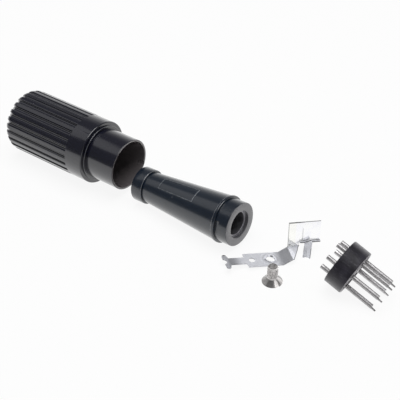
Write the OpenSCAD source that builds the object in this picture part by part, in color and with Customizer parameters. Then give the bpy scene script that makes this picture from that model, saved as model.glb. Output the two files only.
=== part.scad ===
// Round DIN plug, taken apart and laid out in a row on a table: the ribbed shell, the cable
// sleeve, the folded clamp bracket with its screw, and the pin insert with its five contact pins.
// Millimetres. +X runs from the shell out through its mouth, +Z is up and the table is z = 0.

/* [Shell] */
// Diameter of the smooth spigot that enters the socket
spigot_d = 13.2; // [12:0.1:16]
// Length of the spigot, from the mouth to the collar
spigot_l = 8.9; // [6:0.1:14]
// Wall of the spigot round its bore
spigot_wall = 0.5; // [0.3:0.05:1]
// How far the ribbed grip stands out past the spigot
grip_step = 1.625; // [1.2:0.025:3]
// Length of the whole shell
shell_l = 35.6; // [26:0.1:60]
// Length of the smooth collar in front of the ribs
collar_l = 5.15; // [2:0.05:9]
// Step round the root of the spigot: how far it stands out
root_step = 0.7; // [0.3:0.05:1]
// Step round the root of the spigot: its length
root_l = 0.4; // [0.2:0.05:1]
// Rounding of the rear edge
rear_round = 2; // [1.2:0.1:3]
// Rounding of the collar's front edge
collar_round = 0.25; // [0.1:0.05:0.6]
// Wall at the rear end
rear_wall = 2.2; // [1.5:0.1:4]
// Play between the rear hole and the thick end of the sleeve's taper
rear_play = 0.1; // [0.05:0.01:0.15]
// Width of the key groove inside the mouth
mouth_key_w = 0.9; // [0.5:0.1:1.5]
// Length of the key groove inside the mouth
mouth_key_l = 1.6; // [0.8:0.1:4]
// Depth of the key groove inside the mouth
mouth_key_h = 0.25; // [0.1:0.05:0.25]

/* [Grip ribs] */
// Number of ribs round the grip
rib_n = 24; // [16:1:32]
// Width of the groove between two ribs
groove_w = 1.1; // [0.7:0.05:1.3]
// Depth of the groove between two ribs
groove_h = 0.5; // [0.3:0.05:0.55]
// How much tighter than the rear rounding a groove bends over the rear edge
groove_runout = 0.3; // [0.2:0.05:0.6]

/* [Cable sleeve] */
// Length of the whole sleeve
sleeve_l = 30; // [22:0.5:45]
// Play between the sleeve's ring and the shell's bore
ring_play = 0.2; // [0.1:0.05:0.5]
// Length of the ring
ring_l = 0.8; // [0.6:0.05:2]
// Rounding of the ring's front edge
ring_round = 0.25; // [0.1:0.05:0.4]
// Step from the ring down to the plain big end
big_end_step = 0.5; // [0.2:0.05:1]
// Length of the plain big end in front of the ring
big_end_l = 3.4; // [2:0.1:5]
// Step from the ring down to the thick end of the taper
taper_step = 0.2; // [0.16:0.02:0.4]
// Diameter of the thin end of the taper
taper_thin_d = 7.8; // [7:0.1:9]
// Diameter of the collar at the small end
small_collar_d = 8.8; // [8:0.05:10]
// Length of the collar at the small end
small_collar_l = 3.1; // [1.5:0.1:6]
// Diameter of the cable bore
cable_bore_d = 5.7; // [4:0.1:6]
// Diameter of the counterbore in the big end
counterbore_d = 6.9; // [6.4:0.1:8]
// Depth of the counterbore in the big end
counterbore_h = 0.85; // [0.4:0.05:2]
// Width of the key pocket in the big end, in front of the ring
key_pocket_w = 2.9; // [1.5:0.1:4]
// Length of the key pocket along the sleeve
key_pocket_l = 1.05; // [0.5:0.05:1.4]
// Depth of the key pocket
key_pocket_h = 0.35; // [0.2:0.05:0.6]
// Run of the point in which the lower end of the key pocket ends
key_pocket_point = 0.85; // [0.2:0.05:1.2]
// Size of the small nick in the rim of the big end
nick = 0.4; // [0.2:0.05:0.6]

/* [Bracket sheet] */
// Thickness of the folded sheet
sheet = 0.25; // [0.15:0.05:0.4]
// Width of the strip
strip_w = 4.6; // [4.2:0.1:6]
// Length of the strip, from its shoulder to the fold that it rests on
strip_l = 8.7; // [8:0.1:12]
// Slope of the strip down towards that fold, in degrees
strip_slope = 7; // [3:0.5:10]
// Width of the neck between the strip and the fishtail
neck_w = 2.2; // [1.6:0.1:3]
// Length of the neck, up to the middles of the fishtail's knobs
neck_l = 4.55; // [3:0.05:7]
// Distance between the middles of the fishtail's two knobs
tail_w = 3.5; // [3.2:0.1:4.5]
// Diameter of a knob of the fishtail
knob_d = 1.15; // [0.9:0.05:1.3]
// How much nearer the strip the fishtail's near knob is than its far one
tail_slant = 0.27; // [0:0.03:0.6]
// Radius of the bite between the two knobs
bite_r = 0.85; // [0.5:0.05:1]
// How far the strip's near corner is set back from its shoulder
shoulder_cut = 0.36; // [0.1:0.02:0.6]
// Run of the ramp beyond the fold
ramp_run = 2.2; // [1.6:0.1:3]
// Rise of the ramp
ramp_rise = 1.15; // [0.8:0.05:1.8]
// Length of the floor beyond the ramp, along the wing
floor_l = 2.8; // [2:0.1:4]
// Width of the floor's far end, where it is cut on the slant
floor_end_w = 1.6; // [0.8:0.1:2]
// Inside radius of the folds
fold_r = 0.3; // [0.15:0.05:0.5]
// Radius of the crest between the ramp and the floor
crest_r = 1.2; // [0.6:0.1:1.5]

/* [Bracket holes] */
// Diameter of the small plain hole
small_hole_d = 1.5; // [1:0.05:2]
// Distance of the small hole from the strip's shoulder
small_hole_u = 1.66; // [1.2:0.02:2.2]
// Distance of the tapped hole from the fold
tapped_u = 2.6; // [2.2:0.05:3]
// Wall of the drawn collar round the tapped hole
tapped_wall = 0.3; // [0.2:0.05:0.5]
// Height of that collar above the sheet
tapped_h = 0.2; // [0.1:0.05:1]

/* [Bracket wing] */
// Height of the wing's left edge above the floor
wing_h = 7.2; // [5:0.1:10]
// Length of the wing's flag beyond its neck
flag_l = 5; // [4:0.1:8]
// Height of the flag's lower edge above the floor
flag_lift = 1.4; // [1:0.05:2]
// Slope of the flag's edges, in degrees
flag_slope = 5.5; // [0:0.5:8]
// Width of the flange along the flag's lower edge
flange_w = 0.8; // [0.7:0.05:1.3]
// Width of the slot between the neck and the flag
slot_w = 0.16; // [0.1:0.02:0.4]
// Length of that slot
slot_l = 3.7; // [2:0.1:4]
// Distance of that slot from the neck
slot_u = 0.6; // [0.4:0.1:1.2]
// Start of that slot above the flag's lower edge
slot_up = 0.4; // [0.2:0.1:1]
// Radius of the fillet from the ramp up to the wing's left edge
wing_fillet = 0.9; // [0.5:0.1:1.2]
// Width of the curved claw
claw_w = 1.8; // [1.2:0.1:2.2]
// Radius of the claw's curve
claw_r = 1.3; // [1.2:0.1:2]
// Distance of the claw's root from the neck
claw_u = 2.2; // [1.6:0.1:3]
// How far the claw's foot is nearer the neck than its root
claw_back = 1.1; // [0:0.1:1.6]
// How far the claw's foot reaches out from the wing
claw_reach = 2.8; // [2:0.1:3.6]

/* [Clamp screw] */
// Thread diameter
screw_d = 2.5; // [2:0.1:3]
// Diameter of the countersunk head
head_d = 4.8; // [4:0.1:6]
// Height of the straight rim of the head
head_rim = 0.15; // [0.1:0.05:0.6]
// Length of the whole screw
screw_l = 4.5; // [4:0.1:10]
// Length of an arm of the cross recess, from tip to tip
recess_l = 2.6; // [1.6:0.1:3]
// Width of an arm of the cross recess
recess_w = 0.5; // [0.4:0.05:0.8]
// Depth of the cross recess
recess_h = 0.7; // [0.3:0.05:1]
// Chamfer of the screw's end
screw_tip = 0.25; // [0.1:0.05:0.4]
// How far the tapped hole's thread reaches into the screw's thread
thread_bite = 0.2; // [0.1:0.05:0.25]

/* [Pin insert] */
// Play between the insert's disc and the shell's bore
insert_play = 0.55; // [0.1:0.05:0.8]
// Thickness of the disc
disc_h = 4.5; // [3:0.1:7]
// Chamfer of the disc's back edge
disc_chamfer = 0.2; // [0.1:0.05:0.5]
// Rounding of the disc's front edge
disc_round = 0.3; // [0.2:0.05:0.6]
// Width of the rim round the disc's recessed front
front_rim_w = 1; // [0.7:0.1:1.1]
// Depth of the recess in the disc's front
front_recess_h = 0.25; // [0.1:0.05:0.6]
// Radius of the circle on which the pins stand
pin_circle_r = 3.5; // [2.8:0.05:3.9]
// Diameter of a contact pin
pin_d = 1.1; // [0.8:0.05:1.6]
// How far a pin's thicker part inside the disc stands out past its ends
pin_collar = 0.2; // [0.16:0.02:0.3]
// Length of the pins beyond the disc's front
pin_long_l = 7.3; // [5:0.1:12]
// Length of the pins beyond the disc's back
pin_short_l = 2.4; // [1.5:0.1:5]
// Length of the narrow tongue at a pin's long end
tongue_l = 1.1; // [0.6:0.1:2]
// Width of the tongue
tongue_w = 0.4; // [0.3:0.05:0.6]
// Thickness of the tongue at its root
tongue_t = 0.3; // [0.25:0.05:0.5]
// Thickness of the tongue at its end
tongue_end_t = 0.15; // [0.1:0.05:0.25]
// How far the tongue's lower face is in from the pin's surface
tongue_in = 0.06; // [0.06:0.01:0.15]

/* [Layout on the table] */
// Gap from the shell's mouth to the sleeve
sleeve_gap = 4.2; // [2:0.1:12]
// Gap from the sleeve's big end to the shoulder of the bracket
bracket_gap = 5.2; // [4.5:0.1:12]
// Gap from the bracket to the insert's short pins
insert_gap = 7.6; // [3:0.1:15]
// Gap between the strip and the screw's head
screw_gap = 2.2; // [1:0.05:5]
// Shift of the screw along the strip, from the tapped hole towards the shoulder
screw_back = 1.6; // [0:0.05:4]
// Turn of the sleeve on the table, in degrees
sleeve_turn = -1.4; // [-6:0.1:6]
// Turn of the bracket on the table, in degrees
bracket_turn = 50.3; // [40:0.1:60]
// Turn of the insert on the table, in degrees
insert_turn = 0.5; // [-6:0.1:6]
// Shift of the sleeve's big end to the side
sleeve_y = -0.8; // [-2:0.1:2]
// Shift of the bracket's shoulder to the side
bracket_y = -5.85; // [-8:0.05:-4]
// Shift of the insert to the side
insert_y = 1.5; // [-3:0.05:3]

/* [Hidden] */
$fn = 72;
// Overrun of a cutter past the face that it cuts
over = 1;
// Straight pieces in a rounded fold, seen from the side
fold_steps = 4;

// Shell: the grip is as wide as its collar, so both lie on the table
grip_r = spigot_d / 2 + grip_step;
bore_r = spigot_d / 2 - spigot_wall;
ring_r = bore_r - ring_play;
taper_r = ring_r - taper_step;
rear_hole_r = taper_r + rear_play;
// A groove's round cutter, from the groove's width and depth
groove_r = (pow(groove_w / 2, 2) + pow(groove_h, 2)) / (2 * groove_h);
groove_axis_r = grip_r - groove_h + groove_r;
groove_end = spigot_l + collar_l;
// A groove bends tighter than the rear edge is rounded, so it runs out there
groove_bend = rear_round - groove_runout;
// Places round the bodies, in degrees from the top towards -Y
mouth_key_at = -116;
key_pocket_at = 76;
nick_at = -62;

// Sleeve: it lies on the rear edges of its ring and of its small collar, which sets its tilt
big_end_r = ring_r - big_end_step;
ring_at = big_end_l + ring_l;
small_collar_r = small_collar_d / 2;
small_collar_at = sleeve_l - small_collar_l;
sleeve_tilt = atan((ring_r - small_collar_r) / (sleeve_l - ring_at));
sleeve_x = sleeve_gap + sleeve_l * cos(sleeve_tilt);
sleeve_z = ring_r * cos(sleeve_tilt) + ring_at * sin(sleeve_tilt);

// Bracket: side view in its own frame, u along the strip from its shoulder and z up
strip_rise = strip_l * tan(strip_slope);
tail_at = [-neck_l, strip_rise + neck_l * tan(strip_slope)];
ramp_u = strip_l + ramp_run;
floor_u = ramp_u + floor_l;
ramp_slope = atan(ramp_rise / ramp_run);
floor_from = ramp_u + crest_r * tan(ramp_slope / 2);
wing_top = ramp_rise + sheet + wing_h;
flag_low = ramp_rise + sheet + flag_lift;
flag_u = floor_u + flag_l;
tapped_r = screw_d / 2 - thread_bite;
wing_v = strip_w / 2;
bracket_x = sleeve_x + bracket_gap;
screw_u = strip_l - tapped_u - screw_back;
screw_v = -(strip_w / 2 + screw_gap + head_d / 2);

// Insert: it lies on the rounded front edge of its disc and on the tongues of its two lowest pins.
disc_r = bore_r - insert_play;
pin_r = pin_d / 2;
pin_hole_r = pin_r + pin_collar;
pin_step = 60;
tongue_low = pin_r - tongue_in;
low_pin_drop = pin_circle_r * cos(pin_step) + tongue_low;
edge_up = disc_r - disc_round - low_pin_drop;
edge_back = pin_long_l + tongue_l + disc_round;
insert_tilt = atan(edge_up / edge_back) + asin(disc_round / norm([edge_up, edge_back]));
insert_z = (disc_r - disc_round) * cos(insert_tilt) + (disc_h / 2 - disc_round) * sin(insert_tilt) + disc_round;
bracket_end_x = bracket_point([flag_u, wing_v, 0]).x;
insert_x = bracket_end_x + insert_gap + disc_h / 2 + pin_short_l;

// Places of points given in a piece's own frame
function turned(p, a) = [p.x * cos(a) - p.y * sin(a), p.x * sin(a) + p.y * cos(a), p.z];
function bracket_point(p) = [bracket_x, bracket_y, 0] + turned(p, bracket_turn);
function insert_point(p) = [insert_x, insert_y, insert_z]
    + turned([p.x * cos(insert_tilt) + p.z * sin(insert_tilt), p.y,
        p.z * cos(insert_tilt) - p.x * sin(insert_tilt)], insert_turn);

// The middle of the whole layout, seen from above
tongue_end = insert_point([disc_h / 2 + pin_long_l + tongue_l, -tongue_w / 2,
    pin_circle_r - tongue_low + tongue_end_t]);
low_x = -shell_l;
high_x = tongue_end.x;
near_knob = bracket_point([tail_at.x + tail_slant, -tail_w / 2, 0]);
low_y = min(-grip_r, near_knob.y - knob_d / 2);
high_y = max(grip_r, bracket_point([flag_u, wing_v, 0]).y);
middle = [(low_x + high_x) / 2, (low_y + high_y) / 2, 0];

// A body turned about +X; its outline gives radius and station along the axis
module lathe() {
    rotate([0, 90, 0]) rotate_extrude() children();
}

// What is left of a square corner outside its rounding; the corner is at the origin, its
// sides run towards -X and -Y
module corner_waste(r) {
    difference() {
        translate([-r, -r]) square(r + over);
        translate([-r, -r]) circle(r);
    }
}

// Points of a sheet's edge view: the path shifted left by d, its corners rounded to the radii r
function unit(v) = v / norm(v);
function left(v) = [-v.y, v.x];
function way(path, i) = unit(path[i + 1] - path[i]);
function bend(path, i, r, d) =
    let (a = way(path, i - 1), b = way(path, i), side = sign(a.x * b.y - a.y * b.x),
        centre = path[i] + side * r * (left(a) + left(b)) / (1 + a * b),
        from = atan2(a.y, a.x), sweep = side * acos(a * b))
    [for (k = [0:fold_steps]) let (t = from + sweep * k / fold_steps)
        centre - (side * r - d) * left([cos(t), sin(t)])];
function shifted(path, r, d) = [
    path[0] + d * left(way(path, 0)),
    for (i = [1:len(path) - 2]) each bend(path, i, r[i - 1], d),
    path[len(path) - 1] + d * left(way(path, len(path) - 2))];
function reversed(list) = [for (i = [len(list) - 1:-1:0]) list[i]];
module sheet_edge(path, r) {
    polygon(concat(shifted(path, r, 0), reversed(shifted(path, r, sheet))));
}

// Shell

module groove() {
    rear = groove_bend - shell_l;
    rotate([0, 90, 0]) translate([-groove_axis_r, 0, rear]) cylinder(r = groove_r, h = -groove_end - rear);
    translate([rear, 0, grip_r - groove_bend]) rotate([-90, 0, 0]) rotate([0, 0, 180])
        rotate_extrude(angle = 90) translate([groove_axis_r - grip_r + groove_bend, 0]) circle(groove_r);
}

module shell_outline() {
    difference() {
        union() {
            translate([0, -spigot_l]) square([spigot_d / 2, spigot_l]);
            translate([0, -spigot_l]) square([spigot_d / 2 + root_step, root_l]);
            difference() {
                translate([0, -shell_l]) square([grip_r, shell_l - spigot_l]);
                translate([grip_r, -spigot_l]) corner_waste(collar_round);
                translate([grip_r, -shell_l]) mirror([0, 1]) corner_waste(rear_round);
            }
        }
        translate([0, rear_wall - shell_l]) square([bore_r, shell_l + over]);
        translate([0, -shell_l - over]) square([rear_hole_r, shell_l]);
    }
}

module shell() {
    color("#17181b") translate([0, 0, grip_r] - middle) difference() {
        lathe() shell_outline();
        for (i = [0:rib_n - 1]) rotate([(i + 0.5) * 360 / rib_n, 0, 0]) groove();
        rotate([mouth_key_at, 0, 0]) translate([-mouth_key_l, -mouth_key_w / 2, 0])
            cube([mouth_key_l + over, mouth_key_w, bore_r + mouth_key_h]);
    }
}

// Cable sleeve, with the middle of its big end at the origin

module sleeve_outline() {
    difference() {
        polygon([[0, 0], [big_end_r, 0], [big_end_r, -big_end_l], [ring_r, -big_end_l],
            [ring_r, -ring_at], [taper_r, -ring_at], [taper_thin_d / 2, -small_collar_at],
            [small_collar_r, -small_collar_at], [small_collar_r, -sleeve_l], [0, -sleeve_l]]);
        translate([ring_r, -big_end_l]) corner_waste(ring_round);
        translate([0, -sleeve_l - over]) square([cable_bore_d / 2, sleeve_l + 2 * over]);
        translate([0, -counterbore_h]) square([counterbore_d / 2, counterbore_h + over]);
    }
}

module key_pocket() {
    front = key_pocket_l - big_end_l;
    half = key_pocket_w / 2;
    translate([0, 0, big_end_r - key_pocket_h]) linear_extrude(key_pocket_h + over)
        polygon([[-big_end_l, half], [front, half], [front, -half], [-big_end_l, -half - key_pocket_point]]);
}

module cable_sleeve() {
    color("#1b2126") translate([sleeve_x, sleeve_y, sleeve_z] - middle)
        rotate([0, -sleeve_tilt, sleeve_turn]) difference() {
            lathe() sleeve_outline();
            rotate([key_pocket_at, 0, 0]) key_pocket();
            rotate([nick_at, 0, 0]) translate([-nick, -nick / 2, big_end_r - nick / 2])
                cube([nick + over, nick, nick]);
        }
}

// Bracket

// Seen from above: fishtail, neck, strip, ramp and floor
module bracket_plan() {
    half = strip_w / 2;
    knob_r = knob_d / 2;
    near = tail_at.x + tail_slant;
    // The arms have narrowed to the neck this far from the knobs' middles
    flare = tail_at.x + knob_r + sheet;
    difference() {
        union() {
            translate([near, -tail_w / 2]) circle(knob_r);
            translate([tail_at.x, tail_w / 2]) circle(knob_r);
            polygon([[near - knob_r, -tail_w / 2], [tail_at.x - knob_r, tail_w / 2],
                [tail_at.x + knob_r, tail_w / 2], [flare, neck_w / 2], [over, neck_w / 2],
                [over, -neck_w / 2], [flare + tail_slant, -neck_w / 2], [near + knob_r, -tail_w / 2]]);
            polygon([[0, half], [floor_u, half], [floor_u - floor_end_w / 2, half - floor_end_w],
                [floor_from, -half], [shoulder_cut, -half], [shoulder_cut, -half + 2 * shoulder_cut],
                [0, -neck_w / 2]]);
        }
        translate([tail_at.x - knob_r, 0]) circle(bite_r);
        translate([small_hole_u, 0]) circle(d = small_hole_d);
    }
}

// The strip from the side, with its folds
module bracket_side() {
    sheet_edge([[tail_at.x - knob_d, tail_at.y + knob_d * tan(strip_slope)],
        [strip_l, 0], [ramp_u, ramp_rise], [floor_u + over, ramp_rise]], [fold_r + sheet, crest_r]);
}

module lying(w) {
    rotate([90, 0, 0]) linear_extrude(w, center = true) children();
}

// Places its children on the strip's upper face, at a distance from its shoulder
module on_strip(u) {
    translate([u, 0, strip_rise * (1 - u / strip_l) + sheet / cos(strip_slope)])
        rotate([0, strip_slope, 0]) children();
}

module tapped_collar() {
    root = sheet / 2;
    translate([0, 0, -root]) cylinder(r = tapped_r + tapped_wall, h = tapped_h + root);
}

// The wing from the side: its neck stands on the floor and carries the flag
module wing_side() {
    foot = ramp_rise + sheet / 2;
    drop = (flag_u - ramp_u) * tan(flag_slope);
    difference() {
        polygon([[ramp_u, foot], [floor_u, foot], [floor_u, flag_low],
            [flag_u, flag_low - flag_l * tan(flag_slope)], [flag_u, wing_top - drop], [ramp_u, wing_top]]);
        translate([floor_u + slot_u, flag_low + slot_up]) square([slot_w, slot_l]);
    }
    // The ramp's far edge runs up into the wing's left edge in a fillet
    hub = [ramp_u - wing_fillet, foot + wing_fillet * (1 - sin(ramp_slope)) / cos(ramp_slope)];
    difference() {
        polygon([hub, hub + wing_fillet * [sin(ramp_slope), -cos(ramp_slope)],
            [ramp_u, foot], [ramp_u + over, foot], [ramp_u + over, hub.y]]);
        translate(hub) circle(wing_fillet);
    }
}

module flange() {
    path = [[wing_v - flange_w, 0], [wing_v, 0], [wing_v, flange_w]];
    intersection() {
        translate([floor_u - over, 0, flag_low - sheet + over * tan(flag_slope)]) rotate([0, flag_slope, 0])
            rotate([90, 0, 90]) linear_extrude(flag_l + 3 * over) sheet_edge(path, [fold_r + sheet]);
        // Its near left corner is rounded
        linear_extrude(wing_top) difference() {
            translate([floor_u, -strip_w]) square([flag_l, 2 * strip_w]);
            translate([floor_u, wing_v - flange_w]) rotate([0, 0, 180]) corner_waste(fold_r);
        }
    }
}

// Curved like a gutter, the claw slopes from the flange down to the table
module claw() {
    root = [floor_u + claw_u, wing_v - flange_w + sheet, flag_low - sheet / 2];
    foot = [root.x - claw_back, wing_v - claw_reach, 0];
    run = foot - root;
    fall = asin(-run.z / norm(run));
    spread = asin(claw_w / 2 / claw_r);
    intersection() {
        translate(root) rotate([0, fall, atan2(run.y, run.x)]) translate([-sheet, 0, claw_r])
            rotate([0, 90, 0]) rotate([0, 0, -spread]) rotate_extrude(angle = 2 * spread)
            translate([claw_r - sheet, 0]) square([sheet, norm(run) + over]);
        translate([0, -strip_w, 0]) cube([flag_u, 2 * strip_w, flag_low]);
    }
}

module bracket() {
    color("#c9ccd0") translate([bracket_x, bracket_y, 0] - middle) rotate([0, 0, bracket_turn]) {
        difference() {
            union() {
                intersection() {
                    lying(2 * strip_w) bracket_side();
                    linear_extrude(wing_top) bracket_plan();
                }
                on_strip(strip_l - tapped_u) tapped_collar();
            }
            on_strip(strip_l - tapped_u) translate([0, 0, -over])
                cylinder(r = tapped_r, h = tapped_h + 2 * over);
        }
        translate([0, wing_v - sheet / 2, 0]) lying(sheet) wing_side();
        flange();
        claw();
    }
}

// Clamp screw, standing on its head

module screw_outline() {
    cone = (head_d - screw_d) / 2;
    polygon([[0, 0], [head_d / 2, 0], [head_d / 2, head_rim], [screw_d / 2, head_rim + cone],
        [screw_d / 2, screw_l - screw_tip], [screw_d / 2 - screw_tip, screw_l], [0, screw_l]]);
}

module clamp_screw() {
    color("#b5b3b0") translate(bracket_point([screw_u, screw_v, 0]) - middle) difference() {
        rotate_extrude() screw_outline();
        for (turn = [0, 90]) rotate([0, 0, turn]) translate([-recess_l / 2, -recess_w / 2, -over])
            cube([recess_l, recess_w, recess_h + over]);
    }
}

// Insert, with the middle of its disc at the origin and its long pins towards +X

module insert_place() {
    translate([insert_x, insert_y, insert_z] - middle) rotate([0, insert_tilt, insert_turn]) children();
}

// Pin 3 is at the top, and the bottom place of the six is left out
module at_pin(i) {
    rotate([(3 - i) * pin_step, 0, 0]) translate([0, 0, pin_circle_r]) rotate([(i - 3) * pin_step, 0, 0])
        children();
}

module pin_rod(r, front, back) {
    translate([-back, 0, 0]) rotate([0, 90, 0]) cylinder(r = r, h = front + back);
}

module insert_disc() {
    recess_r = disc_r - front_rim_w;
    color("#26272a") insert_place() difference() {
        lathe() difference() {
            polygon([[0, -disc_h / 2], [disc_r - disc_chamfer, -disc_h / 2],
                [disc_r, disc_chamfer - disc_h / 2], [disc_r, disc_h / 2], [recess_r, disc_h / 2],
                [recess_r, disc_h / 2 - front_recess_h], [0, disc_h / 2 - front_recess_h]]);
            translate([disc_r, disc_h / 2]) corner_waste(disc_round);
        }
        for (i = [1:5]) at_pin(i) pin_rod(pin_hole_r, disc_h, disc_h);
    }
}

module contact_pin(i) {
    root = disc_h / 2 + pin_long_l;
    end = root + tongue_l;
    floor_x = disc_h / 2 - front_recess_h;
    color("#bcbdbf") insert_place() at_pin(i) {
        pin_rod(pin_r, root, disc_h / 2 + pin_short_l);
        pin_rod(pin_hole_r, floor_x, disc_h / 2);
        // A small cone joins the thicker part to the pin in front of the recess's floor
        translate([floor_x, 0, 0]) rotate([0, 90, 0]) cylinder(r1 = pin_hole_r, r2 = pin_r, h = pin_collar);
        translate([0, 0, -tongue_low]) lying(tongue_w) polygon([[root - pin_d, 0], [end, 0],
            [end, tongue_end_t], [root, tongue_t], [root - pin_d, tongue_t]]);
    }
}

shell();
cable_sleeve();
bracket();
clamp_screw();
insert_disc();
contact_pin(1);  // contact_pin_1
contact_pin(2);  // contact_pin_2
contact_pin(3);  // contact_pin_3
contact_pin(4);  // contact_pin_4
contact_pin(5);  // contact_pin_5
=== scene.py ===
"""Round plug, taken apart and laid in a row: ribbed shell, cable sleeve, folded clamp bracket with
its screw, and the insert with five contact pins."""
import math
import bpy
from mathutils import Matrix, Vector


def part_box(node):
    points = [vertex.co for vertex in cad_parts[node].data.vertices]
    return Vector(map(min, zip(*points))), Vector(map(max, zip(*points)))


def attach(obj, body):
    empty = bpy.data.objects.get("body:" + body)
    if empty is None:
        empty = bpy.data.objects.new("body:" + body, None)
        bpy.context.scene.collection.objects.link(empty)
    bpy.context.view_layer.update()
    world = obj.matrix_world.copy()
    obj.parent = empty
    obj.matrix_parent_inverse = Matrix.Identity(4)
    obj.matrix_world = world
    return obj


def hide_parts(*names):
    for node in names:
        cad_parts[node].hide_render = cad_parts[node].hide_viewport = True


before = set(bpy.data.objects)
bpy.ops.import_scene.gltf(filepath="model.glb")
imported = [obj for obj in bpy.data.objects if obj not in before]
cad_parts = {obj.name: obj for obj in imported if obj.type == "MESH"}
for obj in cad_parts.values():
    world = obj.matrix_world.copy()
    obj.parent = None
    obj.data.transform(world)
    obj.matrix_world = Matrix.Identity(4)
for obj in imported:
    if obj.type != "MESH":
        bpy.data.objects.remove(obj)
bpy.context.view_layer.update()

# Sizes in millimetres, as in the part's source. Angles are in degrees, and round a piece's axis
# they run from its top.
MM = 0.001
ROUND_STEPS = 4

# Shell: lengths run back from its mouth. The root is a step between the spigot and the grip.
SPIGOT_R = 6.6
SPIGOT_L = 8.9
BORE_R = 6.1
GRIP_R = 8.225
SHELL_L = 35.6
ROOT_R = 7.3
ROOT_L = 0.4
REAR_ROUND = 2.0
REAR_WALL = 2.2
REAR_HOLE_R = 5.8
REAR_ANGLES = (0, 12, 24, 36, 48, 60, 70, 80, 83, 90)
# Key groove in the mouth
KEY_AT = -116
KEY_W = 0.9
KEY_L = 1.6
KEY_R = 6.35
# Ribs, and the grooves between them
RIBS = 24
RIB_PITCH = 360 / RIBS
POINTS_PER_RIB = 16
GROOVE_FROM = 14.05
# The rings behind the front end of a groove: how far back, and the share of its depth there
GROOVE_START = ((0.0, 0.0), (0.05, 0.9), (0.12, 1.0))
# Where a groove runs out on the rear rounding
GROOVE_TO = 81
# A groove in half: how far each point is from its middle, and how deep it lies
GROOVE = ((0, 0.5), (0.2, 0.4625), (0.36, 0.367), (0.47, 0.238), (0.525, 0.11), (0.56, 0.03),
          (0.63, 0.0), (0.8, 0.0))

# Cable sleeve: lengths run back from its big end
BIG_END_R = 5.4
BIG_END_L = 3.4
RING_R = 5.9
RING_AT = 4.2
TAPER_R = 5.7
THIN_R = 3.9
COLLAR_R = 4.4
COLLAR_AT = 26.9
SLEEVE_L = 30.0
CABLE_R = 2.85
COUNTER_R = 3.45
COUNTER_H = 0.85
# The mould's pocket in front of the ring, and the nick in the big end
POCKET_AT = 76
POCKET_W = 2.9
POCKET_L = 1.05
POCKET_H = 0.35
POCKET_POINT = 0.85
POCKET_TOP = 7.0
NICK_AT = -62
NICK_W = 0.4
NICK_H = 0.2
NICK_TOP = 6.0
# The raised border, and the pip below it
BORDER_FROM = 11.4
BORDER_TO = 22.3
BORDER_TOP = -1.0
BORDER_BOTTOM = 42.0
BORDER_R = 5.1
BORDER_LINE = 0.22
BORDER_SUNK = 0.03
BORDER_THICK = 0.1
PIP_AT = 17.28
PIP_TURN = 51.3
PIP_R = 0.16

# Bracket: u runs along its strip from the shoulder, and v across it
SHEET = 0.25
STRIP_L = 8.7
STRIP_SLOPE = 7.0
RAMP_RUN = 2.2
RAMP_RISE = 1.15
FLOOR_L = 2.8
WING_V = 2.3
WING_H = 7.2
FLAG_L = 5.0
FLAG_LIFT = 1.4
FLAG_SLOPE = 5.5
SLOT_U = 14.38
DIMPLE_U = 11.31
DIMPLE_Z = 2.14
# The line of the claw from above, as u and v
CLAW_ROOT = (15.9, 1.75)
CLAW_FOOT = (14.8, -0.5)
# The tapped hole with its drawn collar, and the coined ring round it
TAPPED_U = 6.1
TAPPED_R = 1.05
TAPPED_OUT = 1.35
TAPPED_H = 0.2
COIN_R = 2.2
COIN_H = 0.05
BRACKET_L = STRIP_L + RAMP_RUN + FLOOR_L + FLAG_L

# Clamp screw
HEAD_R = 2.4
HEAD_RIM = 0.15
THREAD_R = 1.25
THREAD_PITCH = 0.45
THREAD_H = 0.2
THREAD_FLANK = 2.6
THREAD_FADE = 0.4
THREAD_RINGS = 72
SCREW_L = 4.5
SCREW_TIP = 0.25
RECESS_L = 2.6
RECESS_W = 0.5
RECESS_H = 0.7
SHANK_Z = HEAD_RIM + HEAD_R - THREAD_R

# Insert: lengths run forwards from the middle of its disc
DISC_R = 5.55
DISC_H = 4.5
DISC_ROUND = 0.3
DISC_CHAMFER = 0.2
RIM_W = 1
RIM_H = 0.25
# Contact pins
PIN_R = 0.55
PIN_COLLAR_R = 0.75
PIN_CIRCLE_R = 3.5
PIN_STEP = 60
PIN_LONG_L = 7.3
PIN_SHORT_L = 2.4
TONGUE_L = 1.1
TONGUE_W = 0.4
TONGUE_T = 0.3
TONGUE_END_T = 0.15
TONGUE_LOW = 0.49

# Where the pieces lie: the shell's mouth is the origin of the row, with +X out of it
SLEEVE_GAP = 4.2
SLEEVE_Y = -0.8
SLEEVE_TURN = -1.4
SLEEVE_LEAN = math.atan((RING_R - COLLAR_R) / (SLEEVE_L - RING_AT))
SLEEVE_X = SLEEVE_GAP + SLEEVE_L * math.cos(SLEEVE_LEAN)
SLEEVE_Z = RING_R * math.cos(SLEEVE_LEAN) + RING_AT * math.sin(SLEEVE_LEAN)
BRACKET_GAP = 5.2
BRACKET_X = SLEEVE_X + BRACKET_GAP
BRACKET_Y = -5.85
BRACKET_TURN = 50.3
FLAG_END_X = (BRACKET_X + BRACKET_L * math.cos(math.radians(BRACKET_TURN)) -
              WING_V * math.sin(math.radians(BRACKET_TURN)))
# The screw stands beside the bracket, at a u and a v of the bracket's frame
SCREW_U = 4.5
SCREW_V = -6.9
INSERT_GAP = 7.6
INSERT_X = FLAG_END_X + INSERT_GAP + DISC_H / 2 + PIN_SHORT_L
INSERT_Y = 1.5
INSERT_TURN = 0.5
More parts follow.
